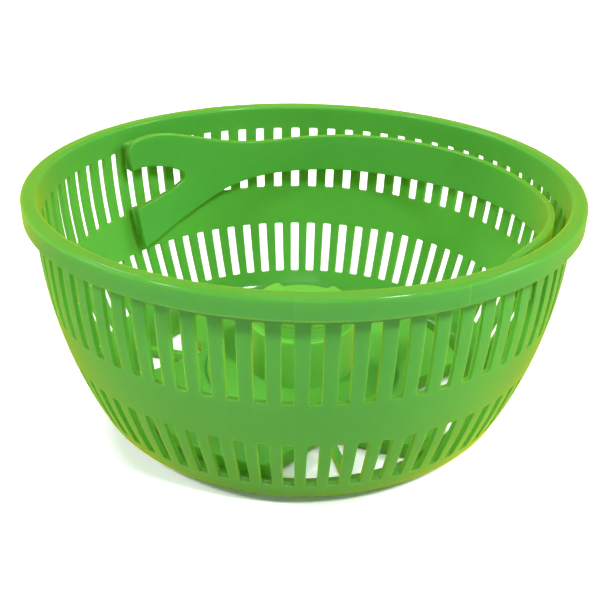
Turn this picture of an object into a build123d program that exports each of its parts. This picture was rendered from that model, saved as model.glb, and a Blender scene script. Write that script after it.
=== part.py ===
from build123d import *
import os
from math import cos, radians, sin, sqrt

# Clearances
RUNNING = 0.05
SEAT = 0.03
AXIAL = 0.1

# Basket wall, an arc in section that stands a little off the table
WALL_RADIUS = 119.7
WALL_ARC_RADIUS = 208.0
WALL_THICKNESS = 2.2
BASE_ROUND = 15.0
BASE_HEIGHT = 1.2
SPLIT_RISE = 4.3

# Two rows of slots with a plain band between them
SLOT_COUNT = 72
SLOT_WIDTH = 4.6
SLOT_CORNER = 0.9
SLOT_PHASE = 2.74
LOWER_SLOT_RISE = 14.3
LOWER_SLOT_HEIGHT = 26.8
BAND_HEIGHT = 21.3
UPPER_SLOT_HEIGHT = 34.6

# Rim and skirt
RIM_BAND = 12.8
RIM_OVERHANG = 5.3
LIP_THICKNESS = 2.0
SKIRT_DROP = 9.0
SKIRT_THICKNESS = 1.8
SKIRT_STEP = 0.4
SKIRT_PANEL_START = 268.7
SKIRT_PANEL_SPAN = 29.3
RIM_ROUND = 1.4

# Spindle and bearings
SPINDLE_RADIUS = 4.0
SPINDLE_NOSE = 1.7
BUSH_WALL = 2.95
BUSH_LENGTH = 9.0
BUSH_FLANGE = 1.5
BUSH_FLANGE_REACH = 2.0
WASHER_THICKNESS = 0.8
WASHER_INSET = 0.4
CLIP_THICKNESS = 0.9
CLIP_WIDTH = 2.6
CLIP_GAP = 70.0
GROOVE_DEPTH = 0.8

# Foot
FOOT_RING_HEIGHT = 1.5
FOOT_RING_WIDTH = 9.5
FOOT_RING_INSET = 1.5
FOOT_THICKNESS = 4.5
FOOT_CHAMFER = 1.6
FOOT_GAP = 4.8
FOOT_BOSS_RISE = 4.0
FOOT_BOSS_MARGIN = 2.4
FOOT_WEB = 1.6
FOOT_SCREW_RADIUS = 2.0
FOOT_SCREW_HEAD_RADIUS = 3.8
FOOT_SCREW_HEAD = 2.0
FOOT_SCREW_LENGTH = 9.0

# Drive crown on the hub
CROWN_CLEARANCE = 2.3
CROWN_WEB = 2.0
CROWN_DROP = 4.0
CROWN_FLANGE = 2.0
CROWN_WALL = 4.7
CROWN_EYE_GAP = 4.0
TOOTH_COUNT = 3
TOOTH_SPAN = 44.0
TOOTH_PHASE = 145.0
TOOTH_HEIGHT = 2.8
SCREW_PHASE = 85.0
SCREW_RADIUS = 1.25
SCREW_HEAD_RADIUS = 2.4
SCREW_HEAD_HEIGHT = 1.3
SCREW_RECESS = 0.7
SCREW_MARGIN = 0.4
SCREW_LENGTH = 8.0
POST_RADIUS = 2.8
POST_GAP = 0.4

# Floor and hub
FLOOR_WALL = 2.2
TUBE_WALL = 2.95
TUBE_RISE = 1.0
BOSS_RISE = 19.6
BOSS_STEP = 4.0
DISC_WIDTH = 21.0
RING_WIDTH = 4.5
PANEL_RISE = 7.8
SECTOR_COUNT = 6
SECTOR_PHASE = 44.0
OPEN_SECTORS = (1, 2, 4, 5)
WINDOW_INSET = 6.0
WINDOW_SPREAD = 24.0
SPOKE_WIDTH = 3.6
SPOKE_DEPTH = 4.6

# Carry handle and its hinges
HINGE_ANGLE = 140.24
HINGE_DROP = 16.0
HINGE_BOSS_RADIUS = 7.5
HINGE_BOSS_LENGTH = 2.9
HINGE_WASHER_RADIUS = 6.0
HINGE_WASHER_THICKNESS = 0.7
STUD_RADIUS = 2.0
STUD_SEAT = 4.0
HINGE_BUSH_WALL = 1.15
HINGE_BUSH_LENGTH = 3.5
FOOT_BACK = 11.0
FOOT_FRONT = 9.0
FOOT_RISE = 9.4
FOOT_DROP = 5.6
HANDLE_GAP = 6.0
HANDLE_THICKNESS = 2.8
BRACE_LIFT = 2.5
BRACE_WIDTH = 11.0
BRACE_HEIGHT = 15.5

# Handle outlines seen along the hinge: distance towards the grip, height over the hinge
LEFT_TOP = [(WALL_RADIUS, 4.2), (100.0, 3.0), (82.0, 0.2), (67.0, -1.6), (50.0, 0.0), (28.0, 6.0), (14.0, 9.6),
            (0.0, 10.8)]
RIGHT_TOP = [(WALL_RADIUS, 4.2), (89.0, 5.2), (71.0, 6.6), (54.0, 8.8), (28.0, 10.4), (0.0, 10.8)]
FORK_GAP = [(-FOOT_BACK, -5.6), (-4.0, -5.2), (6.6, -6.9), (17.5, -10.6), (23.5, -15.5), (19.0, -19.6),
            (8.0, -22.9), (-FOOT_BACK, -26.0)]
LEFT_BOTTOM = [(-FOOT_BACK, -47.5), (4.0, -44.0), (19.0, -38.6), (32.0, -33.6), (46.0, -27.6), (61.0, -22.8),
               (81.0, -19.3), (WALL_RADIUS, -16.8)]
RIGHT_BOTTOM = [(-FOOT_BACK, -47.5), (4.0, -44.0), (19.0, -36.0), (32.0, -24.0), (46.0, -13.6), (60.0, -10.9),
                (84.0, -13.0), (WALL_RADIUS, -16.8)]

# Heights of the wall, from the base up
LOWER_SLOT_BOTTOM = BASE_HEIGHT + LOWER_SLOT_RISE
LOWER_SLOT_TOP = LOWER_SLOT_BOTTOM + LOWER_SLOT_HEIGHT
UPPER_SLOT_BOTTOM = LOWER_SLOT_TOP + BAND_HEIGHT
UPPER_SLOT_TOP = UPPER_SLOT_BOTTOM + UPPER_SLOT_HEIGHT
RIM_TOP = UPPER_SLOT_TOP + RIM_BAND
SPLIT_HEIGHT = BASE_HEIGHT + SPLIT_RISE
HINGE_HEIGHT = RIM_TOP - HINGE_DROP

# Centres of the wall's arc and of its rounded foot
WALL_ARC_HEIGHT = UPPER_SLOT_TOP
WALL_CENTRE = WALL_RADIUS - WALL_ARC_RADIUS
ROUND_HEIGHT = BASE_HEIGHT + BASE_ROUND
ROUND_CENTRE = WALL_CENTRE + sqrt(
    (WALL_ARC_RADIUS - BASE_ROUND) ** 2 - (WALL_ARC_HEIGHT - ROUND_HEIGHT) ** 2
)
RIM_RADIUS = WALL_RADIUS + RIM_OVERHANG
RING_BORE = ROUND_CENTRE - RING_WIDTH
PANEL_TOP = BASE_HEIGHT + PANEL_RISE

# Heights up the spindle, from the table to the crown
SPINDLE_FOOT = FOOT_RING_HEIGHT + FOOT_SCREW_HEAD + FOOT_WEB
FOOT_TOP = FOOT_RING_HEIGHT + FOOT_THICKNESS
THRUST_HEIGHT = FOOT_TOP + FOOT_BOSS_RISE
LOWER_BUSH_BOTTOM = THRUST_HEIGHT + WASHER_THICKNESS + AXIAL
DISC_TOP = LOWER_BUSH_BOTTOM + BUSH_FLANGE
BOSS_TOP = DISC_TOP + BOSS_RISE
TUBE_TOP = BOSS_TOP + TUBE_RISE
UPPER_WASHER_BOTTOM = TUBE_TOP + BUSH_FLANGE + AXIAL
CLIP_HEIGHT = UPPER_WASHER_BOTTOM + WASHER_THICKNESS
CLIP_TOP = CLIP_HEIGHT + CLIP_THICKNESS
SPINDLE_TOP = CLIP_TOP + SPINDLE_NOSE
WEB_BOTTOM = CLIP_TOP + CROWN_CLEARANCE
COLUMN_TOP = WEB_BOTTOM + CROWN_DROP
FLANGE_TOP = COLUMN_TOP + CROWN_FLANGE

# Radii of the hub, from the spindle out
SPINDLE_BORE = SPINDLE_RADIUS + RUNNING
BUSH_RADIUS = SPINDLE_BORE + BUSH_WALL
BUSH_FLANGE_RADIUS = BUSH_RADIUS + BUSH_FLANGE_REACH
WASHER_RADIUS = BUSH_FLANGE_RADIUS - WASHER_INSET
TUBE_BORE = BUSH_RADIUS + SEAT
TUBE_RADIUS = TUBE_BORE + TUBE_WALL
SCREW_CIRCLE = BUSH_FLANGE_RADIUS + POST_GAP + POST_RADIUS
CROWN_BORE = SCREW_CIRCLE + SCREW_HEAD_RADIUS + SCREW_MARGIN
CROWN_RADIUS = CROWN_BORE + CROWN_WALL
COLUMN_RADIUS = CROWN_RADIUS + AXIAL + FLOOR_WALL
BOSS_RADIUS = COLUMN_RADIUS + BOSS_STEP
DISC_RADIUS = BOSS_RADIUS + DISC_WIDTH
FOOT_RADIUS = DISC_RADIUS - FLOOR_WALL - FOOT_GAP
FOOT_RING_RADIUS = FOOT_RADIUS - FOOT_RING_INSET


def wall_radius(height, inset):
    """Radius of the surface that lies inset millimetres inside the wall's outer face."""
    drop = max(WALL_ARC_HEIGHT - height, 0.0)
    return WALL_CENTRE + sqrt((WALL_ARC_RADIUS - inset) ** 2 - drop ** 2)


def round_radius(height, inset):
    """The same for the rounded foot of the wall."""
    drop = ROUND_HEIGHT - height
    return ROUND_CENTRE + sqrt((BASE_ROUND - inset) ** 2 - drop ** 2)


# Distances of the hinge's faces from the basket's centre
WALL_INSIDE = wall_radius(HINGE_HEIGHT, WALL_THICKNESS)
HINGE_FACE = WALL_INSIDE - HINGE_BOSS_LENGTH
WASHER_FACE = HINGE_FACE - HINGE_WASHER_THICKNESS
KNUCKLE_FACE = WASHER_FACE - AXIAL
HINGE_BUSH_END = KNUCKLE_FACE - HINGE_BUSH_LENGTH
STUD_END = HINGE_FACE + STUD_SEAT
STUD_BORE = STUD_RADIUS + RUNNING
HINGE_BUSH_RADIUS = STUD_BORE + HINGE_BUSH_WALL


def joint_point(inset):
    """Point where the wall's arc runs into its rounded foot."""
    reach = (WALL_ARC_RADIUS - inset) / (WALL_ARC_RADIUS - BASE_ROUND)
    radius = WALL_CENTRE + reach * (ROUND_CENTRE - WALL_CENTRE)
    height = WALL_ARC_HEIGHT + reach * (ROUND_HEIGHT - WALL_ARC_HEIGHT)
    return radius, height


def section_arc(surface, start, end, inset):
    """Arc in section between two heights of a surface given by its radius."""
    heights = (start, (start + end) / 2, end)
    return ThreePointArc(*[(surface(height, inset), height) for height in heights])


def wall_line(inset, bottom):
    """Edges of one wall surface in section, from the rim down to a height on the arc."""
    spring = (wall_radius(WALL_ARC_HEIGHT, inset), WALL_ARC_HEIGHT)
    head = (spring[0], RIM_TOP)
    return [Line(head, spring), section_arc(wall_radius, WALL_ARC_HEIGHT, bottom, inset)]


def closed_face(first, second):
    """Face between two runs of edges whose ends are joined by straight lines."""
    ends = [Line(first[0] @ 0, second[0] @ 0), Line(first[-1] @ 1, second[-1] @ 1)]
    return make_face(first + second + ends)


def turned(section, span=360.0, start=0.0):
    """Solid turned from a section drawn as radius and height."""
    return Rot(0, 0, start) * revolve(Plane.XZ * section, Axis.Z, span)


def ring(inner, outer, bottom, top):
    """Plain ring or disc about the spin axis."""
    body = extrude(Circle(outer), top - bottom)
    if inner > 0:
        body -= extrude(Circle(inner), top - bottom)
    return Pos(0, 0, bottom) * body


def around(count, phase, piece):
    """Copies of a piece spread evenly about the spin axis."""
    return [Rot(0, 0, phase + index * 360.0 / count) * piece for index in range(count)]


def rectangle(left, right, bottom, top):
    """Rectangle in section, given by its edges."""
    return Pos((left + right) / 2, (bottom + top) / 2) * Rectangle(right - left, top - bottom)


def hinge_pin(radius, near, far, side):
    """Cylinder on the hinge axis between two distances from the basket's centre."""
    angle = radians(HINGE_ANGLE)
    outward = Vector(side * cos(angle), side * sin(angle), 0)
    plane = Plane(origin=outward * near + Vector(0, 0, HINGE_HEIGHT), z_dir=outward)
    return plane * extrude(Circle(radius), far - near)


def make_basket_wall():
    """Slotted wall, rolled rim with its skirt, and the two bosses that carry the handle."""
    faces = []
    for inset in (0, WALL_THICKNESS):
        joint_height = joint_point(inset)[1]
        foot = section_arc(round_radius, joint_height, SPLIT_HEIGHT, inset)
        faces.append(wall_line(inset, joint_height) + [foot])
    wall = turned(closed_face(*faces))

    slots = []
    for bottom, height in ((UPPER_SLOT_BOTTOM, UPPER_SLOT_HEIGHT), (LOWER_SLOT_BOTTOM, LOWER_SLOT_HEIGHT)):
        outline = RectangleRounded(SLOT_WIDTH, height, SLOT_CORNER)
        plane = Plane(origin=(RING_BORE, 0, bottom + height / 2), x_dir=(0, 1, 0), z_dir=(1, 0, 0))
        slots += around(SLOT_COUNT, SLOT_PHASE, plane * extrude(outline, RIM_RADIUS - RING_BORE))
    wall -= slots

    additions = []
    for reach, span, start in (
        (RIM_RADIUS - SKIRT_STEP, 360.0, 0.0),
        (RIM_RADIUS, SKIRT_PANEL_SPAN, SKIRT_PANEL_START),
        (RIM_RADIUS, SKIRT_PANEL_SPAN, SKIRT_PANEL_START - 180.0),
    ):
        lip = rectangle(WALL_RADIUS - WALL_THICKNESS, reach, RIM_TOP - LIP_THICKNESS, RIM_TOP)
        lip += rectangle(reach - SKIRT_THICKNESS, reach, RIM_TOP - SKIRT_DROP, RIM_TOP)
        top_corners = lip.vertices().sort_by(Axis.Y)[-2:]
        additions.append(turned(fillet(top_corners, RIM_ROUND), span, start))

    boss_end = WALL_INSIDE + WALL_THICKNESS / 2
    sides = (1, -1)
    additions += [hinge_pin(HINGE_BOSS_RADIUS, HINGE_FACE, boss_end, side) for side in sides]
    wall += additions
    return wall - [hinge_pin(STUD_RADIUS + SEAT, HINGE_FACE, STUD_END, side) for side in sides]


def make_base_ring():
    """Flat ring under the basket, with the start of the wall's rounded foot."""
    plate_top = BASE_HEIGHT + WALL_THICKNESS
    outer = section_arc(round_radius, SPLIT_HEIGHT, BASE_HEIGHT, 0)
    inner = section_arc(round_radius, SPLIT_HEIGHT, plate_top, WALL_THICKNESS)
    under = Line(outer @ 1, (RING_BORE, BASE_HEIGHT))
    over = Line(inner @ 1, (RING_BORE, plate_top))
    return turned(closed_face([outer, under], [inner, over]))


def floor_window(inset):
    """Wedge-shaped window of the floor, on the X axis, widened all round by an inset."""
    spread = radians(WINDOW_SPREAD)
    tip = DISC_RADIUS + WINDOW_INSET
    rise = RING_BORE * sin(spread)
    run = RING_BORE * cos(spread) - tip
    tip -= inset * sqrt(rise ** 2 + run ** 2) / rise
    half = (RIM_RADIUS - tip) * rise / run
    outline = make_face(Polyline((tip, 0), (RIM_RADIUS, half), (RIM_RADIUS, -half), close=True))
    return Pos(0, 0, BASE_HEIGHT) * extrude(outline, PANEL_RISE)


def make_floor_panels():
    """Raised panels, open underneath, between the disc and the base ring, with a window in most sectors."""
    sector = 360.0 / SECTOR_COUNT

    def panel(inset):
        section = rectangle(DISC_RADIUS, RING_BORE - inset, BASE_HEIGHT, PANEL_TOP - inset)
        windows = [Rot(0, 0, side * sector / 2) * floor_window(inset) for side in (1, -1)]
        return turned(section, sector, -sector / 2) - windows

    panels = around(SECTOR_COUNT, SECTOR_PHASE + sector / 2, panel(0) - panel(FLOOR_WALL))
    section = rectangle(DISC_RADIUS, RING_BORE, PANEL_TOP - FLOOR_WALL, PANEL_TOP)
    section += rectangle(RING_BORE - FLOOR_WALL, RING_BORE, BASE_HEIGHT, PANEL_TOP)
    cover = turned(section, sector, -sector / 2) & floor_window(0)
    closed = [index for index in range(SECTOR_COUNT) if index not in OPEN_SECTORS]
    covers = [Rot(0, 0, SECTOR_PHASE + index * sector) * cover for index in closed]
    return Compound(children=panels + covers)


def make_floor_spokes():
    """One narrow bar across the middle of each window."""
    bar = Pos(0, -SPOKE_WIDTH / 2, BASE_HEIGHT) * Box(RIM_RADIUS, SPOKE_WIDTH, SPOKE_DEPTH, align=Align.MIN)
    spoke = bar & floor_window(0) & ring(DISC_RADIUS, RING_BORE, BASE_HEIGHT, PANEL_TOP)
    sector = 360.0 / SECTOR_COUNT
    return Compound(children=[Rot(0, 0, SECTOR_PHASE + index * sector) * spoke for index in OPEN_SECTORS])


def make_hub_disc():
    """Raised disc with a skirt, which the panels hold and the hub stands on."""
    disc = ring(BOSS_RADIUS - FLOOR_WALL, DISC_RADIUS, DISC_TOP - FLOOR_WALL, DISC_TOP)
    return disc + ring(DISC_RADIUS - FLOOR_WALL, DISC_RADIUS, BASE_HEIGHT, DISC_TOP)


def make_hub_tower():
    """Stepped hub with its bearing tube, the ribs that brace the tube and the posts for the screws."""
    step_bottom = BOSS_TOP - FLOOR_WALL
    tower = ring(BOSS_RADIUS - FLOOR_WALL, BOSS_RADIUS, DISC_TOP, BOSS_TOP)
    pieces = [
        ring(TUBE_BORE, BOSS_RADIUS, step_bottom, BOSS_TOP),
        ring(COLUMN_RADIUS - FLOOR_WALL, COLUMN_RADIUS, step_bottom, COLUMN_TOP),
        ring(TUBE_BORE, TUBE_RADIUS, DISC_TOP, TUBE_TOP),
    ]

    rib_end = BOSS_RADIUS - FLOOR_WALL / 2
    rib_start = TUBE_RADIUS - TUBE_WALL / 2
    rib = Box(rib_end - rib_start, FLOOR_WALL, BOSS_RISE)
    rib = Pos((rib_end + rib_start) / 2, 0, DISC_TOP + BOSS_RISE / 2) * rib
    pieces += around(SECTOR_COUNT, SECTOR_PHASE, rib)

    post = Pos(SCREW_CIRCLE, 0, step_bottom) * extrude(Circle(POST_RADIUS), WEB_BOTTOM - step_bottom)
    pieces += around(TOOTH_COUNT, SCREW_PHASE, post)
    tower += pieces

    hole_depth = SCREW_LENGTH - CROWN_WEB + SEAT
    hole = Pos(SCREW_CIRCLE, 0, WEB_BOTTOM - hole_depth) * extrude(Circle(SCREW_RADIUS + SEAT), hole_depth)
    return tower - around(TOOTH_COUNT, SCREW_PHASE, hole) - ring(0, TUBE_BORE, DISC_TOP, TUBE_TOP)


def screw_head(clearance):
    """Countersunk head whose top is flush with the crown's web, or the cut that it sinks into."""
    middle = CROWN_WEB - SCREW_HEAD_HEIGHT / 2
    return Pos(0, 0, middle) * Cone(SCREW_RADIUS + clearance, SCREW_HEAD_RADIUS + clearance, SCREW_HEAD_HEIGHT)


def make_drive_coupling():
    """Crown on the hub: a flanged cup with dog teeth, held down by three screws."""
    crown = ring(CROWN_BORE, COLUMN_RADIUS, COLUMN_TOP, FLANGE_TOP)
    crown += ring(CROWN_BORE, CROWN_RADIUS, WEB_BOTTOM, COLUMN_TOP)
    crown += ring(SPINDLE_RADIUS + CROWN_EYE_GAP, CROWN_BORE, WEB_BOTTOM, WEB_BOTTOM + CROWN_WEB)
    tooth = turned(rectangle(CROWN_BORE, COLUMN_RADIUS, COLUMN_TOP, FLANGE_TOP + TOOTH_HEIGHT), TOOTH_SPAN)
    crown += around(TOOTH_COUNT, TOOTH_PHASE - TOOTH_SPAN / 2, tooth)
    hole = extrude(Circle(SCREW_RADIUS + AXIAL), CROWN_WEB) + screw_head(AXIAL)
    return crown - around(TOOTH_COUNT, SCREW_PHASE, Pos(SCREW_CIRCLE, 0, WEB_BOTTOM) * hole)


def make_coupling_screws():
    """Three countersunk screws through the crown's web into the hub's posts."""
    shank = Pos(0, 0, CROWN_WEB - SCREW_LENGTH) * extrude(Circle(SCREW_RADIUS), SCREW_LENGTH)
    recess = Box(SCREW_HEAD_RADIUS, SCREW_RADIUS / 2, SCREW_RECESS)
    recess = Pos(0, 0, CROWN_WEB - SCREW_RECESS / 2) * recess
    screw = screw_head(0) + shank - [recess, Rot(0, 0, 90) * recess]
    return Compound(children=around(TOOTH_COUNT, SCREW_PHASE, Pos(SCREW_CIRCLE, 0, WEB_BOTTOM) * screw))


def make_bush(flange_bottom, body_bottom):
    """Flanged plain bearing pressed into an end of the hub's tube."""
    bush = ring(SPINDLE_BORE, BUSH_FLANGE_RADIUS, flange_bottom, flange_bottom + BUSH_FLANGE)
    return bush + ring(SPINDLE_BORE, BUSH_RADIUS, body_bottom, body_bottom + BUSH_LENGTH)


def make_thrust_washer(bottom):
    """Thin washer on the spindle."""
    return ring(SPINDLE_BORE, WASHER_RADIUS, bottom, bottom + WASHER_THICKNESS)


def make_spindle():
    """Steel pin with a clip groove near its top and a tapped hole in its foot."""
    pin = ring(0, SPINDLE_RADIUS, SPINDLE_FOOT, SPINDLE_TOP)
    pin = chamfer(pin.edges().group_by(Axis.Z)[-1], GROOVE_DEPTH)
    pin -= ring(SPINDLE_RADIUS - GROOVE_DEPTH, SPINDLE_RADIUS, CLIP_HEIGHT - SEAT, CLIP_TOP + SEAT)
    return pin - ring(0, FOOT_SCREW_RADIUS + SEAT, SPINDLE_FOOT, SPINDLE_FOOT + FOOT_SCREW_LENGTH)


def make_retaining_clip():
    """Open ring that snaps into the spindle's groove."""
    inner = SPINDLE_RADIUS - GROOVE_DEPTH + SEAT
    section = rectangle(inner, SPINDLE_RADIUS + CLIP_WIDTH, CLIP_HEIGHT, CLIP_TOP)
    return turned(section, 360.0 - CLIP_GAP, CLIP_GAP / 2)


def make_foot_plate():
    """Still foot under the hub, with a boss that holds the spindle and a recess for its screw."""
    plate = ring(0, FOOT_RADIUS, FOOT_RING_HEIGHT, FOOT_TOP)
    plate = chamfer(plate.edges().group_by(Axis.Z)[-1], FOOT_CHAMFER)
    plate += ring(0, WASHER_RADIUS + FOOT_BOSS_MARGIN, FOOT_TOP, THRUST_HEIGHT)
    plate -= ring(0, SPINDLE_RADIUS + SEAT, SPINDLE_FOOT, THRUST_HEIGHT)
    plate -= ring(0, FOOT_SCREW_RADIUS + AXIAL, FOOT_RING_HEIGHT, SPINDLE_FOOT)
    return plate - ring(0, FOOT_SCREW_HEAD_RADIUS + AXIAL, FOOT_RING_HEIGHT, SPINDLE_FOOT - FOOT_WEB)


def make_spindle_screw():
    """Screw from under the foot into the spindle."""
    head_top = SPINDLE_FOOT - FOOT_WEB
    screw = ring(0, FOOT_SCREW_HEAD_RADIUS, head_top - FOOT_SCREW_HEAD, head_top)
    screw = chamfer(screw.edges().group_by(Axis.Z)[0], FOOT_SCREW_HEAD / 4)
    return screw + ring(0, FOOT_SCREW_RADIUS, head_top, head_top + FOOT_SCREW_LENGTH)


def make_foot_ring():
    """Rubber ring under the foot, with softened lower edges."""
    rubber = ring(FOOT_RING_RADIUS - FOOT_RING_WIDTH, FOOT_RING_RADIUS, 0, FOOT_RING_HEIGHT)
    return fillet(rubber.edges().group_by(Axis.Z)[0], FOOT_RING_HEIGHT / 3)


def make_carry_handle():
    """Half-ring handle, each half cut by its outline from a shell that lies parallel with the wall."""
    near = WALL_THICKNESS + HANDLE_GAP
    far = near + HANDLE_THICKNESS
    low = HINGE_HEIGHT + LEFT_BOTTOM[0][1]
    angle = radians(HINGE_ANGLE)
    side_plane = Plane(
        origin=(0, 0, HINGE_HEIGHT), x_dir=(sin(angle), -cos(angle), 0), z_dir=(-cos(angle), -sin(angle), 0)
    )

    def cut_shell(first, last, outline, reach):
        shell = turned(closed_face(wall_line(first, low), wall_line(last, low)))
        return shell & (side_plane * extrude(outline, reach))

    left, top = FORK_GAP[-1]
    brace = rectangle(left, left + BRACE_WIDTH, top - BRACE_HEIGHT, top)
    foot = rectangle(-FOOT_BACK, FOOT_FRONT, -FOOT_DROP, FOOT_RISE)
    inside = turned(rectangle(0, wall_radius(HINGE_HEIGHT, far), low, RIM_TOP))
    pieces = []
    for top_edge, bottom_edge, side in ((LEFT_TOP, LEFT_BOTTOM, 1), (RIGHT_TOP, RIGHT_BOTTOM, -1)):
        corner = (-FOOT_BACK, FOOT_RISE)
        outline = [
            Spline(top_edge, tangents=[(-1, -0.05), (-1, -0.05)]),
            Polyline(top_edge[-1], corner, FORK_GAP[0]),
            Spline(FORK_GAP),
            Line(FORK_GAP[-1], bottom_edge[0]),
            Spline(bottom_edge, tangents=[(1, 0.2), (1, 0.05)]),
            Line(bottom_edge[-1], top_edge[0]),
        ]
        pieces.append(cut_shell(near, far, make_face(outline), -side * RIM_RADIUS))
        pieces.append(cut_shell(near - BRACE_LIFT, near, brace, -side * RIM_RADIUS))
        pieces.append(side_plane * extrude(foot, -side * KNUCKLE_FACE) - inside)
    handle = pieces[0] + pieces[1:]
    return handle - [hinge_pin(HINGE_BUSH_RADIUS + SEAT, HINGE_BUSH_END, KNUCKLE_FACE, side) for side in (1, -1)]


def make_hinge_liner(radius, near, far, side):
    """Bush or washer that the hinge's stud passes through."""
    return hinge_pin(radius, near, far, side) - hinge_pin(STUD_BORE, near, far, side)


nodes = {
    "basket_wall": make_basket_wall(),
    "base_ring": make_base_ring(),
    "floor_panels": make_floor_panels(),
    "floor_spokes": make_floor_spokes(),
    "hub_disc": make_hub_disc(),
    "hub_tower": make_hub_tower(),
    "drive_coupling": make_drive_coupling(),
    "coupling_screws": make_coupling_screws(),
    "lower_bush": make_bush(LOWER_BUSH_BOTTOM, DISC_TOP),
    "upper_bush": make_bush(TUBE_TOP, TUBE_TOP - BUSH_LENGTH),
    "spindle": make_spindle(),
    "lower_thrust_washer": make_thrust_washer(THRUST_HEIGHT),
    "upper_thrust_washer": make_thrust_washer(UPPER_WASHER_BOTTOM),
    "retaining_clip": make_retaining_clip(),
    "foot_plate": make_foot_plate(),
    "spindle_screw": make_spindle_screw(),
    "foot_ring": make_foot_ring(),
    "carry_handle": make_carry_handle(),
}
for name, side in (("left", 1), ("right", -1)):
    nodes[name + "_hinge_stud"] = hinge_pin(STUD_RADIUS, HINGE_BUSH_END + AXIAL, STUD_END, side)
    nodes[name + "_hinge_bush"] = make_hinge_liner(HINGE_BUSH_RADIUS, HINGE_BUSH_END, KNUCKLE_FACE, side)
    nodes[name + "_hinge_washer"] = make_hinge_liner(HINGE_WASHER_RADIUS, WASHER_FACE, HINGE_FACE, side)

os.makedirs("parts", exist_ok=True)
for name, solid in nodes.items():
    export_step(solid, os.path.join("parts", name + ".step"))
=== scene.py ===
import math
import bmesh
import bpy
from mathutils import Matrix, Vector


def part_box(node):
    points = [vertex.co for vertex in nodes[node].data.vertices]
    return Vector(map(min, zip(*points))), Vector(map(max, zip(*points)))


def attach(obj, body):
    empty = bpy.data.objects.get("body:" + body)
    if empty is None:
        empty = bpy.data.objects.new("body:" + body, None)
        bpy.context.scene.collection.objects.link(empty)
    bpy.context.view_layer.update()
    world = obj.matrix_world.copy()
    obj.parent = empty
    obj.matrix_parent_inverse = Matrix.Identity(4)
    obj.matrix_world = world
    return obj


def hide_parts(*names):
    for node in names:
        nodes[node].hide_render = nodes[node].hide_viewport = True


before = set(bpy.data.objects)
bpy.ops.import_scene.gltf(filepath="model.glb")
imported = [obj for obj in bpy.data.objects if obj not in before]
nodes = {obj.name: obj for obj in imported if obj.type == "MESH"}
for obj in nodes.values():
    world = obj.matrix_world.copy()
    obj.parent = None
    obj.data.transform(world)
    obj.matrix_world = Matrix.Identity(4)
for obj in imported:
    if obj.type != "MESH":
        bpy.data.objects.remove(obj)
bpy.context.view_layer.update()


# Foot ring: a soft dark rubber ring, moulded on its own and pressed under the foot,
# so that the foot grips a wet table while the basket turns over it.
mm = 0.001


def linear(red, green, blue):
    """Colour as it looks on a screen, 0 to 255, as the amount of light that a surface gives back."""
    shares = []
    for value in (red, green, blue):
        share = value / 255.0
        shares.append(share / 12.92 if share <= 0.04045 else ((share + 0.055) / 1.055) ** 2.4)
    return (*shares, 1.0)


def new_finish(name, roughness):
    """Material with its node tree and its shader."""
    finish = bpy.data.materials.new(name)
    finish.use_nodes = True
    shader = finish.node_tree.nodes["Principled BSDF"]
    shader.inputs["Roughness"].default_value = roughness
    return finish, finish.node_tree, shader


def grain(tree, scale, detail=2.0, stretch=(1.0, 1.0, 1.0)):
    """Noise fixed to the object, at so many grains to the metre."""
    place = tree.nodes.new("ShaderNodeTexCoord")
    mapping = tree.nodes.new("ShaderNodeMapping")
    mapping.inputs["Scale"].default_value = stretch
    tree.links.new(place.outputs["Object"], mapping.inputs["Vector"])
    noise = tree.nodes.new("ShaderNodeTexNoise")
    noise.inputs["Scale"].default_value = scale
    noise.inputs["Detail"].default_value = detail
    tree.links.new(mapping.outputs["Vector"], noise.inputs["Vector"])
    return noise.outputs["Fac"]


def spread(tree, value, low, high, start=0.3, end=0.7):
    """Stretches a value that runs from start to end so that it runs from low to high."""
    ranged = tree.nodes.new("ShaderNodeMapRange")
    for name, number in (("From Min", start), ("From Max", end), ("To Min", low), ("To Max", high)):
        ranged.inputs[name].default_value = number
    tree.links.new(value, ranged.inputs["Value"])
    return ranged.outputs["Result"]


def two_colours(tree, amount, first, second):
    """Colour that goes from first to second with amount."""
    mix = tree.nodes.new("ShaderNodeMix")
    mix.data_type = "RGBA"
    tree.links.new(amount, mix.inputs["Factor"])
    for socket, colour in ((mix.inputs[6], first), (mix.inputs[7], second)):
        if isinstance(colour, tuple):
            socket.default_value = colour
        else:
            tree.links.new(colour, socket)
    return mix.outputs[2]


def paint(tree, shader, amount, first, second):
    """Gives a shader a base colour that goes from first to second with amount."""
    tree.links.new(two_colours(tree, amount, first, second), shader.inputs["Base Color"])


def polish(tree, shader, marks, smooth, rough):
    """Gives a shader a roughness that goes from smooth to rough with the marks in its surface."""
    tree.links.new(spread(tree, marks, smooth, rough), shader.inputs["Roughness"])


def add_relief(tree, shader, height, depth, strength):
    """Small bumps in the surface, depth metres high."""
    relief = tree.nodes.new("ShaderNodeBump")
    relief.inputs["Strength"].default_value = strength
    relief.inputs["Distance"].default_value = depth
    tree.links.new(height, relief.inputs["Height"])
    tree.links.new(relief.outputs["Normal"], shader.inputs["Normal"])


def dress(node, finish):
    """Gives a piece of the frame its finish."""
    slots = nodes[node].data.materials
    slots.clear()
    slots.append(finish)


rubber, tree, shader = new_finish("foot_rubber", 0.8)
dust = spread(tree, grain(tree, 90.0, detail=4.0), 0.0, 1.0)
paint(tree, shader, dust, linear(38, 39, 40), linear(58, 58, 57))
polish(tree, shader, grain(tree, 700.0), smooth=0.7, rough=0.9)
add_relief(tree, shader, grain(tree, 2500.0, detail=3.0), depth=0.05 * mm, strength=0.5)
dress("foot_ring", rubber)


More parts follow.
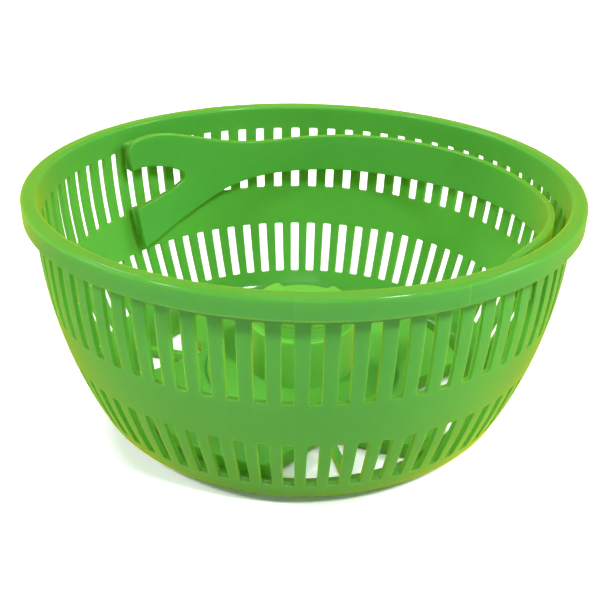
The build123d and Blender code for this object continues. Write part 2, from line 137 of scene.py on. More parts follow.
# Foot plate: a small still disc under the hub that carries the spindle. It is moulded in
# the same green polypropylene as the basket, a translucent plastic with a satin face.
# The tops of every green piece are painted a darker, duller green. This is painted shade, so that upward
# faces, which catch the most lamp light, render no brighter than the sides.
leaf_green = linear(88, 179, 73)
deep_green = linear(84, 175, 71)
painted_shade_top_green = linear(76, 148, 50)
glow_green = linear(186, 224, 66)
sheen_yellow = linear(250, 226, 10)
glow_share = 0.25
gloss_share = 0.014


def green_plastic(name, roughness, face=leaf_green, cloud=deep_green, painted_shade_top=painted_shade_top_green):
    """Translucent moulded plastic: faint flow clouds, upward faces in painted shade and a satin skin that
    glows.
    """
    finish, tree, shader = new_finish(name, roughness)
    clouds = spread(tree, grain(tree, 26.0, detail=3.0, stretch=(1.0, 1.0, 0.45)), 0.0, 1.0)
    side_colour = two_colours(tree, clouds, face, cloud)
    geometry = tree.nodes.new("ShaderNodeNewGeometry")
    facing = tree.nodes.new("ShaderNodeSeparateXYZ")
    tree.links.new(geometry.outputs["Normal"], facing.inputs["Vector"])
    # Painted shade: faces that turn upward take the darker top colour.
    painted_shade_share = spread(tree, facing.outputs["Z"], 0.0, 1.0, start=0.4, end=0.95)
    paint(tree, shader, painted_shade_share, side_colour, painted_shade_top)
    shader.inputs["Subsurface Weight"].default_value = 0.8
    shader.inputs["Subsurface Radius"].default_value = (1.0, 0.85, 0.1)
    shader.inputs["Subsurface Scale"].default_value = 5.0 * mm
    shader.inputs["IOR"].default_value = 1.49
    shader.inputs["Specular IOR Level"].default_value = 0.0
    shader.inputs["Sheen Weight"].default_value = 0.88
    shader.inputs["Sheen Roughness"].default_value = 0.36
    shader.inputs["Sheen Tint"].default_value = sheen_yellow
    polish(tree, shader, grain(tree, 140.0, detail=4.0), smooth=roughness - 0.07, rough=roughness + 0.08)
    add_relief(tree, shader, grain(tree, 900.0), depth=0.015 * mm, strength=0.2)
    through = tree.nodes.new("ShaderNodeBsdfTranslucent")
    through.inputs["Color"].default_value = glow_green
    gloss = tree.nodes.new("ShaderNodeBsdfGlossy")
    gloss.inputs["Roughness"].default_value = 0.12
    surface = shader.outputs["BSDF"]
    for layer, share in ((through, glow_share), (gloss, gloss_share)):
        mix = tree.nodes.new("ShaderNodeMixShader")
        mix.inputs["Fac"].default_value = share
        tree.links.new(surface, mix.inputs[1])
        tree.links.new(layer.outputs["BSDF"], mix.inputs[2])
        surface = mix.outputs["Shader"]
    tree.links.new(surface, tree.nodes["Material Output"].inputs["Surface"])
    return finish


foot_green = green_plastic("foot_plastic", 0.42)
dress("foot_plate", foot_green)


# Spindle, its screw and its clip: turned and stamped steel. The screw holds the spindle
# up from under the foot, and the clip snaps in a groove over the upper washer.
def bare_steel(name, colour, roughness, stretch=(1.0, 1.0, 1.0)):
    """Bright steel with fine tool marks, which a stretch draws out round or along the piece."""
    finish, tree, shader = new_finish(name, roughness)
    shader.inputs["Metallic"].default_value = 1.0
    marks = grain(tree, 900.0, detail=4.0, stretch=stretch)
    darker = tuple(part * 0.82 for part in colour[:3]) + (1.0,)
    paint(tree, shader, spread(tree, marks, 0.0, 1.0), colour, darker)
    polish(tree, shader, marks, smooth=roughness - 0.08, rough=roughness + 0.1)
    add_relief(tree, shader, marks, depth=0.02 * mm, strength=0.4)
    return finish


turned_steel = bare_steel("turned_steel", linear(198, 199, 202), 0.28, stretch=(0.15, 0.15, 2.0))
spring_steel = bare_steel("spring_steel", linear(150, 151, 156), 0.36)
screw_steel = bare_steel("screw_steel", linear(186, 187, 190), 0.3)
dress("spindle", turned_steel)
dress("spindle_screw", screw_steel)
dress("retaining_clip", spring_steel)


# Bearing bushes and thrust washers: white acetal, moulded and pressed into the hub's tube
# or slipped on the spindle, slightly waxy to the touch.
acetal, tree, shader = new_finish("white_acetal", 0.4)
tint = spread(tree, grain(tree, 160.0, detail=3.0), 0.0, 1.0)
paint(tree, shader, tint, linear(236, 235, 228), linear(224, 223, 214))
polish(tree, shader, grain(tree, 500.0), smooth=0.33, rough=0.48)
shader.inputs["Subsurface Weight"].default_value = 0.15
shader.inputs["Subsurface Scale"].default_value = 1.0 * mm
add_relief(tree, shader, grain(tree, 2200.0), depth=0.02 * mm, strength=0.3)
for bearing in ("lower_bush", "upper_bush", "lower_thrust_washer", "upper_thrust_washer"):
    dress(bearing, acetal)


# Floor and hub: raised panels with four wedge-shaped windows, a narrow spoke across each of them,
# a disc and a stepped hub with a bearing tube. Moulded in one piece with the basket's wall.
base_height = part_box("base_ring")[0].z
panel_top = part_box("floor_panels")[1].z
spoke_low, spoke_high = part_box("floor_spokes")
disc_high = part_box("hub_disc")[1]
tower_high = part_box("hub_tower")[1]
plastic_wall = 2.2 * mm
moulded_in = 1.0 * mm
ring_bore = 81.91 * mm
disc_radius = disc_high.x
disc_top = disc_high.z
boss_radius = tower_high.x
boss_top = disc_top + 19.6 * mm
shoulder_top = disc_top + 25.2 * mm
column_radius = boss_radius - 4.0 * mm
column_top = tower_high.z
tube_bore = 7.03 * mm
tube_radius = 9.98 * mm
tube_top = boss_top + 1.0 * mm
window_angles = (104.0, 164.0, 284.0, 344.0)
window_tip = disc_radius + 6.0 * mm
window_spread = math.radians(24.0)
spoke_width = 3.6 * mm
spoke_grip = 1.6 * mm
spoke_reach = (window_tip - moulded_in, ring_bore + spoke_grip)
spoke_span = (spoke_low.z, spoke_high.z)
rib_count = 6
rib_reach = (tube_radius - moulded_in, boss_radius - moulded_in)
rib_span = (disc_top, boss_top - moulded_in)
# The floor, hub and crown are painted lighter than the wall. This is painted glow that stands in for light
# passing through the plastic into the deep middle. Their upright sides are lightest, and their tops are a
# little darker as painted shade.
painted_glow_side_green = linear(128, 212, 90)
painted_glow_green = linear(120, 204, 84)
painted_glow_shaded_top_green = linear(95, 183, 70)


def even_angles(count):
    """Angles in degrees of so many even steps round an axis."""
    return [360.0 * step / count for step in range(count)]


def add_turned(verts, faces, section, angles):
    """Adds a closed ring about the upright axis, from a function that gives its section at an angle."""
    first = len(verts)
    for angle in angles:
        across = math.radians(angle)
        points = section(angle)
        for radius, height in points:
            verts.append((radius * math.cos(across), radius * math.sin(across), height))
    size = len(points)
    for step in range(len(angles)):
        here = first + step * size
        there = first + (step + 1) % len(angles) * size
        for index in range(size):
            following = (index + 1) % size
            faces.append((here + index, there + index, there + following, here + following))


def add_bar(verts, faces, reach, width, span, angle):
    """Adds an upright bar that runs out from the axis, over a reach of radius and a span of height."""
    first = len(verts)
    near, far = reach
    turn = Matrix.Rotation(math.radians(angle), 3, "Z")
    for height in span:
        for x, y in ((near, -width / 2), (far, -width / 2), (far, width / 2), (near, width / 2)):
            verts.append(tuple(turn @ Vector((x, y, height))))
    for face in ((3, 2, 1, 0), (4, 5, 6, 7), (0, 1, 5, 4), (1, 2, 6, 5), (2, 3, 7, 6), (3, 0, 4, 7)):
        faces.append(tuple(first + index for index in face))


def make_piece(name, verts, faces, finish, body):
    """Smooth mesh object that rides on a body of the frame."""
    mesh = bpy.data.meshes.new(name)
    mesh.from_pydata(verts, [], faces)
    work = bmesh.new()
    work.from_mesh(mesh)
    bmesh.ops.recalc_face_normals(work, faces=work.faces)
    for face in work.faces:
        face.smooth = True
    work.to_mesh(mesh)
    work.free()
    mesh.materials.append(finish)
    piece = bpy.data.objects.new(name, mesh)
    bpy.context.scene.collection.objects.link(piece)
    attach(piece, body)
    return piece


def soften(piece, width, segments, angle):
    """Rounds the edges of a moulded piece that are sharper than an angle in degrees."""
    bevel = piece.modifiers.new("moulded_edges", "BEVEL")
    bevel.limit_method = "ANGLE"
    bevel.angle_limit = math.radians(angle)
    bevel.width = width
    bevel.segments = segments
    flat = piece.modifiers.new("even_shading", "WEIGHTED_NORMAL")
    flat.keep_sharp = True


def panel_reach(angle, inset):
    """Radius at which the floor panels end at an angle in degrees, less an inset from their edge."""
    rise = ring_bore * math.sin(window_spread)
    run = ring_bore * math.cos(window_spread) - window_tip
    tip = window_tip - inset * math.hypot(rise, run) / rise
    reach = ring_bore - inset
    for middle in window_angles:
        away = math.radians(abs((angle - middle + 180.0) % 360.0 - 180.0))
        slope = rise * math.cos(away) - run * math.sin(away)
        if slope > 0.0:
            reach = min(reach, tip * rise / slope)
    return reach


def panel_section(angle):
    """Section through the floor panels, which are open underneath."""
    inside = panel_reach(angle, plastic_wall)
    outside = panel_reach(angle, 0.0)
    return [
        (disc_radius - moulded_in, panel_top),
        (outside, panel_top),
        (outside, base_height),
        (inside, base_height),
        (inside, panel_top - plastic_wall),
        (disc_radius - moulded_in, panel_top - plastic_wall),
    ]


def hub_section(angle):
    """Section through the disc, the stepped hub and the bearing tube, the same all round."""
    return [
        (disc_radius, base_height),
        (disc_radius, disc_top),
        (boss_radius, disc_top),
        (boss_radius, shoulder_top),
        (column_radius, shoulder_top),
        (column_radius, column_top),
        (column_radius - plastic_wall, column_top),
        (column_radius - plastic_wall, boss_top),
        (tube_radius, boss_top),
        (tube_radius, tube_top),
        (tube_bore, tube_top),
        (tube_bore, disc_top),
        (tube_radius, disc_top),
        (tube_radius, boss_top - plastic_wall),
        (boss_radius - plastic_wall, boss_top - plastic_wall),
        (boss_radius - plastic_wall, disc_top - plastic_wall),
        (disc_radius - plastic_wall, disc_top - plastic_wall),
        (disc_radius - plastic_wall, base_height),
    ]


verts = []
faces = []
add_turned(verts, faces, panel_section, even_angles(360))
add_turned(verts, faces, hub_section, even_angles(144))
for angle in window_angles:
    add_bar(verts, faces, spoke_reach, spoke_width, spoke_span, angle)
for angle in even_angles(rib_count):
    add_bar(verts, faces, rib_reach, plastic_wall, rib_span, window_angles[0] + angle)
# Painted glow: the floor and hub take the lighter colours, with painted shade on their tops.
floor_green = green_plastic("floor_plastic", 0.36, painted_glow_side_green, painted_glow_green, painted_glow_shaded_top_green)
floor = make_piece("floor_and_hub", verts, faces, floor_green, "basket")
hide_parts("floor_panels", "floor_spokes", "hub_disc", "hub_tower")
soften(floor, 0.7 * mm, segments=3, angle=40.0)


# Drive coupling: the toothed crown let into the top of the hub, in the same green plastic,
# held down by three screws. A lid's dogs drop between its teeth.
crown_low, crown_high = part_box("drive_coupling")
crown_bore = 15.0 * mm
crown_body = 19.7 * mm
crown_eye = 8.0 * mm
web_top = crown_low.z + 2.0 * mm
flange_bottom = column_top
tooth_height = 2.8 * mm
flange_top = crown_high.z - tooth_height
tooth_count = 3
tooth_pitch = 360.0 / tooth_count
tooth_span = 44.0
tooth_phase = 145.0
tooth_slope = 1.2
tooth_steps = [-15.0 + 5.0 * step for step in range(7)]
gap_steps = [27.0 + 5.5 * step for step in range(13)]


def tooth_rise(angle):
    """Height of the crown's edge over its flange at an angle in degrees."""
    away = abs((angle - tooth_phase + tooth_pitch / 2) % tooth_pitch - tooth_pitch / 2)
    share = (tooth_span / 2 + tooth_slope - away) / (2.0 * tooth_slope)
    return tooth_height * min(max(share, 0.0), 1.0)


def crown_section(angle):
    """Section through the crown, whose top follows its teeth."""
    top = flange_top + tooth_rise(angle)
    return [
        (column_radius, flange_bottom),
        (column_radius, top),
        (crown_bore, top),
        (crown_bore, web_top),
        (crown_eye, web_top),
        (crown_eye, crown_low.z),
        (crown_body, crown_low.z),
        (crown_body, flange_bottom),
    ]


crown_angles = []
for index in range(tooth_count):
    centre = tooth_phase + tooth_pitch * index
    for edge in (centre - tooth_span / 2, centre + tooth_span / 2):
        crown_angles += [edge - tooth_slope, edge + tooth_slope]
    crown_angles += [centre + away for away in tooth_steps + gap_steps]
crown_angles = sorted(angle % 360.0 for angle in crown_angles)
verts = []
faces = []
add_turned(verts, faces, crown_section, crown_angles)
# Painted glow: the crown takes the floor's lighter colours, with painted shade on its tops.
crown_green = green_plastic("crown_plastic", 0.34, painted_glow_side_green, painted_glow_green, painted_glow_shaded_top_green)
crown = make_piece("toothed_crown", verts, faces, crown_green, "basket")
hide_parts("drive_coupling")
soften(crown, 0.55 * mm, segments=3, angle=30.0)
dress("coupling_screws", screw_steel)


# Wall and rim: one thin moulding. A flat ring turns up through a rounded foot into a bowed
# wall with two rows of upright slots, rolls out into a flat lip and ends in a short skirt.
# Inside, a round boss on each side takes a hinge stud of the handle.
wall_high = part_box("basket_wall")[1]
rim_top = wall_high.z
rim_radius = wall_high.y
wall_radius = rim_radius - 5.3 * mm
wall_bow = 208.0 * mm
half_wall = plastic_wall / 2
spring_height = rim_top - 12.8 * mm
bow_centre = wall_radius - wall_bow
foot_round = 15.0 * mm
foot_height = base_height + foot_round
foot_centre = bow_centre + math.sqrt((wall_bow - foot_round) ** 2 - (spring_height - foot_height) ** 2)
foot_steps = 9
slot_count = 72
slot_phase = 2.74
slot_width = 4.6 * mm
slot_corner = 0.5 * mm
lower_slots = (base_height + 14.3 * mm, base_height + 41.1 * mm)
upper_slots = (spring_height - 34.6 * mm, spring_height)
lower_steps = 8
upper_steps = 10
band_steps = 5
wall_start = lower_slots[0] - 2.0 * mm
half_lip = 0.9 * mm
lip_turn = 0.95 * mm
turn_steps = 6
skirt_bottom = rim_top - 9.0 * mm
skirt_step = 0.4 * mm
panel_span = (268.7, 298.0)
panel_edge = 0.07
hinge_angle = 140.24
hinge_height = rim_top - 16.0 * mm
hinge_boss = 7.5 * mm
boss_stand = 2.9 * mm
boss_length = 3.6 * mm
stud_hole = 2.03 * mm


def bowed_radius(height, inset):
    """Radius of the bowed wall at a height, inset from its outer face."""
    drop = max(spring_height - height, 0.0)
    return bow_centre + math.sqrt((wall_bow - inset) ** 2 - drop ** 2)


def slot_heights(span, steps):
    """Heights of the mesh over a row of slots, with one at each end of the rounded corners."""
    bottom, top = span
    straight = top - bottom - 2 * slot_corner
    return [bottom] + [bottom + slot_corner + straight * step / steps for step in range(steps + 1)] + [top]


rows = []


def add_row(radius, height, out, up, half, skirt=False):
    """One ring of the wall's middle surface, with the way to its outer face and half its thickness."""
    rows.append((radius, height, out, up, half, skirt))


for share in (0.0, 0.5):
    radius = ring_bore + share * (foot_centre - ring_bore)
    add_row(radius, base_height + half_wall, 0.0, -1.0, half_wall)
foot_middle = foot_round - half_wall
joint_angle = math.atan2(foot_height - spring_height, foot_centre - bow_centre)
for step in range(foot_steps + 1):
    angle = -math.pi / 2 + (joint_angle + math.pi / 2) * step / foot_steps
    out = math.cos(angle)
    up = math.sin(angle)
    add_row(foot_centre + foot_middle * out, foot_height + foot_middle * up, out, up, half_wall)
band_bottom = lower_slots[1]
band_height = upper_slots[0] - band_bottom
heights = [wall_start] + slot_heights(lower_slots, lower_steps)
heights += [band_bottom + band_height * step / band_steps for step in range(1, band_steps)]
heights += slot_heights(upper_slots, upper_steps)
for height in heights:
    radius = bowed_radius(height, half_wall)
    out = (radius - bow_centre) / (wall_bow - half_wall)
    up = (height - spring_height) / (wall_bow - half_wall)
    add_row(radius, height, out, up, half_wall)
straight_radius = wall_radius - half_wall
turn_height = rim_top - half_lip - lip_turn
for share in (0.35, 0.7, 1.0):
    half = half_wall + (half_lip - half_wall) * share
    add_row(straight_radius, spring_height + (turn_height - spring_height) * share, 1.0, 0.0, half)
for step in range(1, turn_steps + 1):
    angle = math.pi - math.pi / 2 * step / turn_steps
    out = math.cos(angle)
    up = math.sin(angle)
    add_row(straight_radius + lip_turn + lip_turn * out, turn_height + lip_turn * up, -out, -up, half_lip)
skirt_radius = rim_radius - half_lip
lip_start = straight_radius + lip_turn
lip_end = skirt_radius - lip_turn
for share in (0.35, 0.7):
    add_row(lip_start + (lip_end - lip_start) * share, rim_top - half_lip, 0.0, -1.0, half_lip)
for step in range(turn_steps + 1):
    angle = math.pi / 2 - math.pi / 2 * step / turn_steps
    out = math.cos(angle)
    up = math.sin(angle)
    add_row(lip_end + lip_turn * out, turn_height + lip_turn * up, -out, -up, half_lip, skirt=True)
for share in (0.5, 1.0):
    height = turn_height + (skirt_bottom - turn_height) * share
    add_row(skirt_radius, height, -1.0, 0.0, half_lip, skirt=True)

pitch = 360.0 / slot_count
corner_reach = 0.5 - slot_corner / slot_width
slot_columns = 6
middle_reach = 0.6
columns = []
for slot in range(slot_count):
    centre = slot_phase + pitch * slot
    for reach in (-0.5, -corner_reach, 0.0, corner_reach, 0.5):
        columns.append((centre, reach))
    columns.append((centre + pitch / 2, 0.0))
panel_columns = {}
for end in (panel_span[0], panel_span[1], panel_span[0] - 180.0, panel_span[1] - 180.0):
    slot = round((end - slot_phase) / pitch)
    past_middle = end - slot_phase - pitch * slot
    nearest = slot * slot_columns + (3 if past_middle > middle_reach else 2)
    panel_columns[nearest] = end - panel_edge
    panel_columns[nearest + 1] = end + panel_edge


def column_angle(column, radius, skirt):
    """Angle of a column of the wall's mesh, in degrees. On the skirt, columns close up to a panel's end."""
    if skirt and column in panel_columns:
        return panel_columns[column]
    centre, reach = columns[column]
    return centre + math.degrees(reach * slot_width / radius)


def in_panel(angle):
    """True on the two stretches of skirt that stand a little proud."""
    return any(panel_span[0] - away <= angle <= panel_span[1] - away for away in (0.0, 180.0))


def slot_part(row, column):
    """0 for a cell of wall, 1 for one that a slot leaves open, 2 to 5 for a rounded corner of a slot."""
    place = column % slot_columns
    middle = (rows[row][1] + rows[row + 1][1]) / 2
    outward = rows[row][2]
    zone = [span for span in (lower_slots, upper_slots) if span[0] < middle < span[1]]
    if place > 3 or not zone or outward < 0.5:
        return 0
    bottom, top = zone[0]
    corner_row = middle < bottom + slot_corner or middle > top - slot_corner
    if not corner_row or place in (1, 2):
        return 1
    return (2 if place == 0 else 3) + (0 if middle < bottom + slot_corner else 2)


verts = []
faces = []
width = len(columns)
for face_side in (1.0, -1.0):
    for radius, height, out, up, half, skirt in rows:
        level = height + face_side * half * up
        for column in range(width):
            angle = column_angle(column, radius, skirt)
            reach = radius + face_side * half * out
            if skirt and not in_panel(angle % 360.0):
                reach -= skirt_step
            across = math.radians(angle)
            verts.append((reach * math.cos(across), reach * math.sin(across), level))
inner_side = len(rows) * width
edge_use = {}
for row in range(len(rows) - 1):
    for column in range(width):
        following = (column + 1) % width
        a = row * width + column
        b = row * width + following
        c = (row + 1) * width + following
        d = (row + 1) * width + column
        part = slot_part(row, column)
        if part == 1:
            continue
        cell = {0: (a, b, c, d), 2: (a, b, d), 3: (a, b, c), 4: (a, c, d), 5: (b, c, d)}[part]
        faces.append(cell)
        faces.append(tuple(inner_side + index for index in reversed(cell)))
        for first, second in zip(cell, cell[1:] + cell[:1]):
            key = (min(first, second), max(first, second))
            edge_use.setdefault(key, []).append((first, second))
for uses in edge_use.values():
    if len(uses) == 1:
        first, second = uses[0]
        faces.append((second, first, inner_side + first, inner_side + second))
hinge_face = bowed_radius(hinge_height, plastic_wall) - boss_stand


def add_pin(verts, faces, section, side, count):
    """Adds a piece about the hinge axis, from a function that gives its section of radius and way out."""
    first = len(verts)
    turned_verts = []
    turned_faces = []
    add_turned(turned_verts, turned_faces, section, even_angles(count))
    angle = math.radians(hinge_angle)
    outward = Vector((math.cos(angle), math.sin(angle), 0.0)) * side
    across = Vector((0.0, 0.0, 1.0)).cross(outward)
    for x, y, away in turned_verts:
        verts.append(tuple(outward * away + across * x + Vector((0.0, 0.0, hinge_height + y))))
    faces.extend(tuple(first + index for index in face) for face in turned_faces)


def boss_section(angle):
    """Section of the round boss on the wall that holds the hinge's stud, the same all round."""
    return [
        (stud_hole, hinge_face),
        (hinge_boss, hinge_face),
        (hinge_boss, hinge_face + boss_length),
        (stud_hole, hinge_face + boss_length),
    ]


for side in (1, -1):
    add_pin(verts, faces, boss_section, side, 48)
wall_green = green_plastic("wall_plastic", 0.34)
wall = make_piece("slotted_wall_and_rim", verts, faces, wall_green, "basket")
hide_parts("basket_wall", "base_ring")
soften(wall, 0.4 * mm, segments=2, angle=48.0)


# Hinge studs, washers and bushes: a steel stud pressed in each boss of the wall carries a
# white washer and a bush, on which the handle turns.
for side in ("left", "right"):
    dress(side + "_hinge_stud", turned_steel)
    dress(side + "_hinge_washer", acetal)
    dress(side + "_hinge_bush", acetal)


# Carry handle: a half-ring of the same green plastic along the inside of the wall, moulded in one
# piece. Each end forks into a square hinge foot and a broad brace foot. Its outline is drawn flat, in
# millimetres forward of the hinge and up from it in side view, and bent to the curve of the wall.
handle_gap = 6.0 * mm
handle_thickness = 2.8 * mm
handle_edge = 0.75 * mm
handle_middle = plastic_wall + handle_gap + handle_thickness / 2
handle_radius = bowed_radius(hinge_height, handle_middle)
half_turn = math.pi / 2 * handle_radius
foot_back = 11.0
foot_front = 9.0
foot_rise = 9.4
foot_drop = 5.6
foot_corner = 2.0
fork_low = -26.0
brace_low = -47.5
middle_low = -16.8
middle_high = 4.2
left_top = [(100.0, 3.0), (82.0, 0.2), (67.0, -1.6), (50.0, 0.0), (28.0, 6.0), (14.0, 9.6), (0.0, 10.8)]
right_top = [(89.0, 5.2), (71.0, 6.6), (54.0, 8.8), (28.0, 10.4), (0.0, 10.8)]
foot_end = [
    (foot_corner - foot_back, foot_rise), (-foot_back, foot_rise - foot_corner), (-foot_back, -foot_drop),
]
fork_gap = [
    (-4.0, -5.2), (6.6, -6.9), (17.5, -10.6), (23.5, -15.5), (19.0, -19.6), (8.0, -22.9),
    (-foot_back, fork_low),
]
left_bottom = [
    (-foot_back, brace_low), (4.0, -44.0), (19.0, -38.6), (32.0, -33.6), (46.0, -27.6), (61.0, -22.8),
    (81.0, -19.3),
]
right_bottom = [
    (-foot_back, brace_low), (4.0, -44.0), (19.0, -36.0), (32.0, -24.0), (46.0, -13.6), (60.0, -10.9),
    (84.0, -13.0),
]
corners = {(-foot_back, -foot_drop), (-foot_back, fork_low), (-foot_back, brace_low)}
bend_margin = 12.0 * mm
bend_low = -48.0 * mm
bend_high = 11.0 * mm
hinge_play = 0.8 * mm
block_root = 1.5 * mm
block_round = 0.7 * mm
block_ease = 0.2 * mm
bush_hole = 3.23 * mm


def along(forward):
    """Distance round the handle from its hinge, for a distance forward of the hinge in side view."""
    return handle_radius * math.asin(max(min(forward * mm / handle_radius, 1.0), -1.0))


outline = []
for point in left_top + foot_end + fork_gap + left_bottom:
    outline.append((along(point[0]) - half_turn, point[1] * mm, point in corners))
outline.append((0.0, middle_low * mm, False))
for point in reversed(right_top + foot_end + fork_gap + right_bottom):
    outline.append((half_turn - along(point[0]), point[1] * mm, point in corners))
outline.append((0.0, middle_high * mm, False))

curve = bpy.data.curves.new("handle_outline", "CURVE")
curve.dimensions = "2D"
curve.fill_mode = "BOTH"
curve.resolution_u = 10
curve.extrude = handle_thickness / 2 - handle_edge
curve.bevel_depth = handle_edge
curve.bevel_resolution = 3
curve.offset = -handle_edge
spline = curve.splines.new("BEZIER")
spline.bezier_points.add(len(outline) - 1)
for point, (x, y, sharp) in zip(spline.bezier_points, outline):
    point.co = (x, y, 0.0)
    point.handle_left_type = "VECTOR" if sharp else "AUTO"
    point.handle_right_type = "VECTOR" if sharp else "AUTO"
spline.use_cyclic_u = True
pattern = bpy.data.objects.new("handle_pattern", curve)
bpy.context.scene.collection.objects.link(pattern)
bpy.context.view_layer.update()
flat_mesh = bpy.data.meshes.new_from_object(pattern.evaluated_get(bpy.context.evaluated_depsgraph_get()))
bpy.data.objects.remove(pattern)
work = bmesh.new()
work.from_mesh(flat_mesh)
bmesh.ops.remove_doubles(work, verts=work.verts, dist=0.01 * mm)


def cut_across(normal, start, end, count):
    """Cuts the flat handle into strips, so that it can be bent."""
    for step in range(1, count):
        place = Vector(normal) * (start + (end - start) * step / count)
        geometry = work.verts[:] + work.edges[:] + work.faces[:]
        bmesh.ops.bisect_plane(work, geom=geometry, plane_co=place, plane_no=normal, dist=1e-7)


def bent(x, y, z):
    """Place on the basket of a point of the flat handle: x round it, y up, z out from its middle."""
    angle = math.radians(hinge_angle) - (x + half_turn) / handle_radius
    height = hinge_height + y
    radius = bowed_radius(height, handle_middle) + z
    return (radius * math.cos(angle), radius * math.sin(angle), height)


cut_across((1.0, 0.0, 0.0), -half_turn - bend_margin, half_turn + bend_margin, 120)
cut_across((0.0, 1.0, 0.0), bend_low, bend_high, 16)
for vert in work.verts:
    vert.co = bent(*vert.co)
verts = [tuple(vert.co) for vert in work.verts]
work.verts.index_update()
faces = [tuple(vert.index for vert in face.verts) for face in work.faces]
work.free()
bpy.data.meshes.remove(flat_mesh)

knuckle_face = hinge_face - hinge_play
block_start = bowed_radius(hinge_height, handle_middle) + handle_thickness / 2 - block_root


def foot_section(side):
    """Section, at each angle about the hinge, of the square block that a foot of the handle turns on."""
    def section(angle):
        across = -side * math.cos(math.radians(angle))
        up = math.sin(math.radians(angle))
        level_reach = foot_front / across if across > 0 else foot_back / max(-across, 1e-6)
        upright_reach = foot_rise / up if up > 0 else foot_drop / max(-up, 1e-6)
        reach = min(level_reach, upright_reach) * mm
        return [
            (bush_hole, block_start),
            (reach, block_start),
            (reach, knuckle_face - block_round),
            (reach - block_ease, knuckle_face - block_ease),
            (reach - block_round, knuckle_face),
            (bush_hole, knuckle_face),
        ]

    return section


for side in (1, -1):
    add_pin(verts, faces, foot_section(side), side, 72)

brace_start = along(-foot_back)
brace_end = along(0.0)
brace_top = fork_low * mm
brace_bottom = -41.5 * mm
brace_root = 0.8 * mm
brace_lift = 2.5 * mm
brace_round = 0.6 * mm
brace_ease = 0.2 * brace_round
brace_face = handle_thickness / 2 + brace_lift
brace_steps = 6
brace_layers = [
    (handle_thickness / 2 - brace_root, 0.0),
    (brace_face - brace_round, 0.0),
    (brace_face - brace_ease, brace_ease),
    (brace_face, brace_round),
]


def add_brace(verts, faces, side):
    """Adds the pad of a brace foot, a block with a rounded face that bends with the handle."""
    first = len(verts)
    line = brace_steps + 1
    for depth, pull in brace_layers:
        for row in range(line):
            for column in range(line):
                x = brace_start + pull + (brace_end - brace_start - 2 * pull) * column / brace_steps
                y = brace_bottom + pull + (brace_top - brace_bottom - 2 * pull) * row / brace_steps
                verts.append(bent(side * (x - half_turn), y, depth))
    border = [(0, index) for index in range(brace_steps)]
    border += [(index, brace_steps) for index in range(brace_steps)]
    border += [(brace_steps, brace_steps - index) for index in range(brace_steps)]
    border += [(brace_steps - index, 0) for index in range(brace_steps)]
    border = [first + row * line + column for row, column in border]
    layer_size = line ** 2
    for layer in range(len(brace_layers) - 1):
        for index in range(len(border)):
            here = border[index] + layer * layer_size
            there = border[(index + 1) % len(border)] + layer * layer_size
            faces.append((here, there, there + layer_size, here + layer_size))
    for layer in (0, len(brace_layers) - 1):
        for row in range(brace_steps):
            for column in range(brace_steps):
                corner = first + layer * layer_size + row * line + column
                faces.append((corner, corner + 1, corner + line + 1, corner + line))


for side in (1.0, -1.0):
    add_brace(verts, faces, side)
handle_green = green_plastic("handle_plastic", 0.32)
handle = make_piece("carry_handle_moulding", verts, faces, handle_green, "handle")
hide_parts("carry_handle")


# Table: a plain round white top under the basket. It looks white to the lens and still takes
# the basket's shadow.
table_radius = 1.4
table_sides = 96
table_edge = []
for step in range(table_sides):
    angle = 2 * math.pi * step / table_sides
    table_edge.append((table_radius * math.cos(angle), table_radius * math.sin(angle), 0.0))
table_mesh = bpy.data.meshes.new("white_table")
table_mesh.from_pydata(table_edge, [], [tuple(range(table_sides))])
table = bpy.data.objects.new("white_table", table_mesh)
bpy.context.scene.collection.objects.link(table)


def seen_directly(tree):
    """1 for what the lens sees, also in a gloss or through a clear piece, and 0 for light that bounces."""
    ray = tree.nodes.new("ShaderNodeLightPath")
    seen = ray.outputs["Is Camera Ray"]
    for kind in ("Is Glossy Ray", "Is Transmission Ray"):
        either = tree.nodes.new("ShaderNodeMath")
        either.operation = "MAXIMUM"
        tree.links.new(seen, either.inputs[0])
        tree.links.new(ray.outputs[kind], either.inputs[1])
        seen = either.outputs[0]
    return seen


table_finish, tree, shader = new_finish("white_paper", 0.7)
shader.inputs["Specular IOR Level"].default_value = 0.1
paint(tree, shader, grain(tree, 40.0, detail=4.0), linear(178, 178, 178), linear(174, 174, 174))
lens_white = tree.nodes.new("ShaderNodeBsdfDiffuse")
lens_lift = spread(tree, seen_directly(tree), 0.0, 0.8, start=0.0, end=1.0)
tree.links.new(lens_lift, lens_white.inputs["Color"])
both = tree.nodes.new("ShaderNodeAddShader")
tree.links.new(shader.outputs["BSDF"], both.inputs[0])
tree.links.new(lens_white.outputs["BSDF"], both.inputs[1])
tree.links.new(both.outputs["Shader"], tree.nodes["Material Output"].inputs["Surface"])
table_mesh.materials.append(table_finish)


# Light: two small, fairly hard panels at the front corners, soft ones at the front, at both
# sides, overhead and behind on the left, and a dim room that looks white to the lens.
lamp_target = Vector((0.0, 0.0, 0.05))


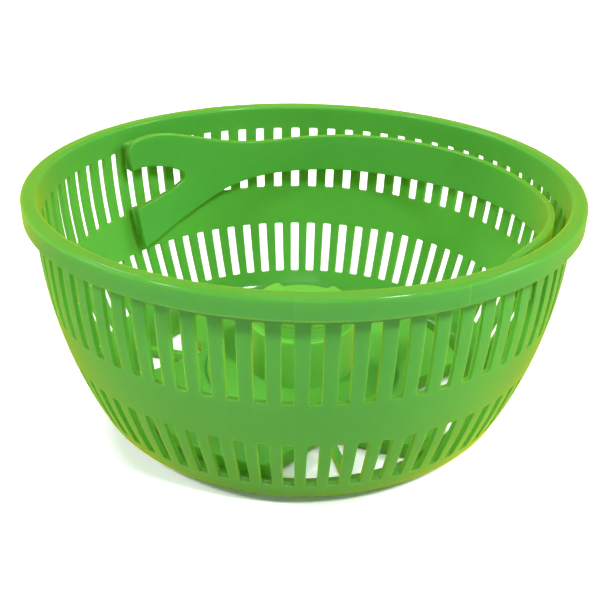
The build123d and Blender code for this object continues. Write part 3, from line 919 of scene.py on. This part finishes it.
def add_panel(name, place, size, power):
    """Square lamp that faces the basket."""
    lamp = bpy.data.lights.new(name, "AREA")
    lamp.shape = "SQUARE"
    lamp.size = size
    lamp.energy = power
    panel = bpy.data.objects.new(name, lamp)
    panel.location = place
    panel.rotation_mode = "QUATERNION"
    panel.rotation_quaternion = (lamp_target - Vector(place)).to_track_quat("-Z", "Y")
    bpy.context.scene.collection.objects.link(panel)


add_panel("front_right_panel", (1.07, -1.18, 1.82), size=0.3, power=39.0)
add_panel("front_left_panel", (-1.52, -0.81, 1.7), size=0.3, power=22.0)
add_panel("front_panel", (0.0, -2.0, 1.3), size=0.8, power=7.0)
add_panel("right_panel", (2.0, 0.0, 1.2), size=0.8, power=24.0)
add_panel("left_panel", (-2.0, 0.0, 1.2), size=0.8, power=16.0)
add_panel("overhead_panel", (0.0, 0.0, 2.4), size=1.2, power=14.0)
add_panel("back_left_panel", (-1.05, 1.05, 1.75), size=0.5, power=16.0)
room = bpy.data.worlds.new("white_room")
room.use_nodes = True
tree = room.node_tree
background = tree.nodes["Background"]
background.inputs["Color"].default_value = (1.0, 1.0, 1.0, 1.0)
room_level = spread(tree, seen_directly(tree), 0.08, 1.0, start=0.0, end=1.0)
tree.links.new(room_level, background.inputs["Strength"])
bpy.context.scene.world = room
bpy.context.scene.view_settings.view_transform = "Standard"


# Camera: at the height of someone who looks down into the basket across a table,
# turned a little about its own axis.
lens = bpy.data.cameras.new("table_view")
lens.lens = 54.37
lens.sensor_width = 36.0
camera = bpy.data.objects.new("table_view", lens)
camera_place = Vector((0.0, -0.39227, 0.24697))
camera_target = Vector((-0.00106, 0.0, 0.0469))
camera_roll = math.radians(0.99)
ahead = (camera_target - camera_place).normalized()
level = ahead.cross(Vector((0.0, 0.0, 1.0))).normalized()
upright = level.cross(ahead)
right = level * math.cos(camera_roll) + upright * math.sin(camera_roll)
over = right.cross(ahead)
turn = Matrix((right, over, -ahead)).transposed()
camera.matrix_world = Matrix.Translation(camera_place) @ turn.to_4x4()
bpy.context.scene.collection.objects.link(camera)
bpy.context.scene.camera = camera
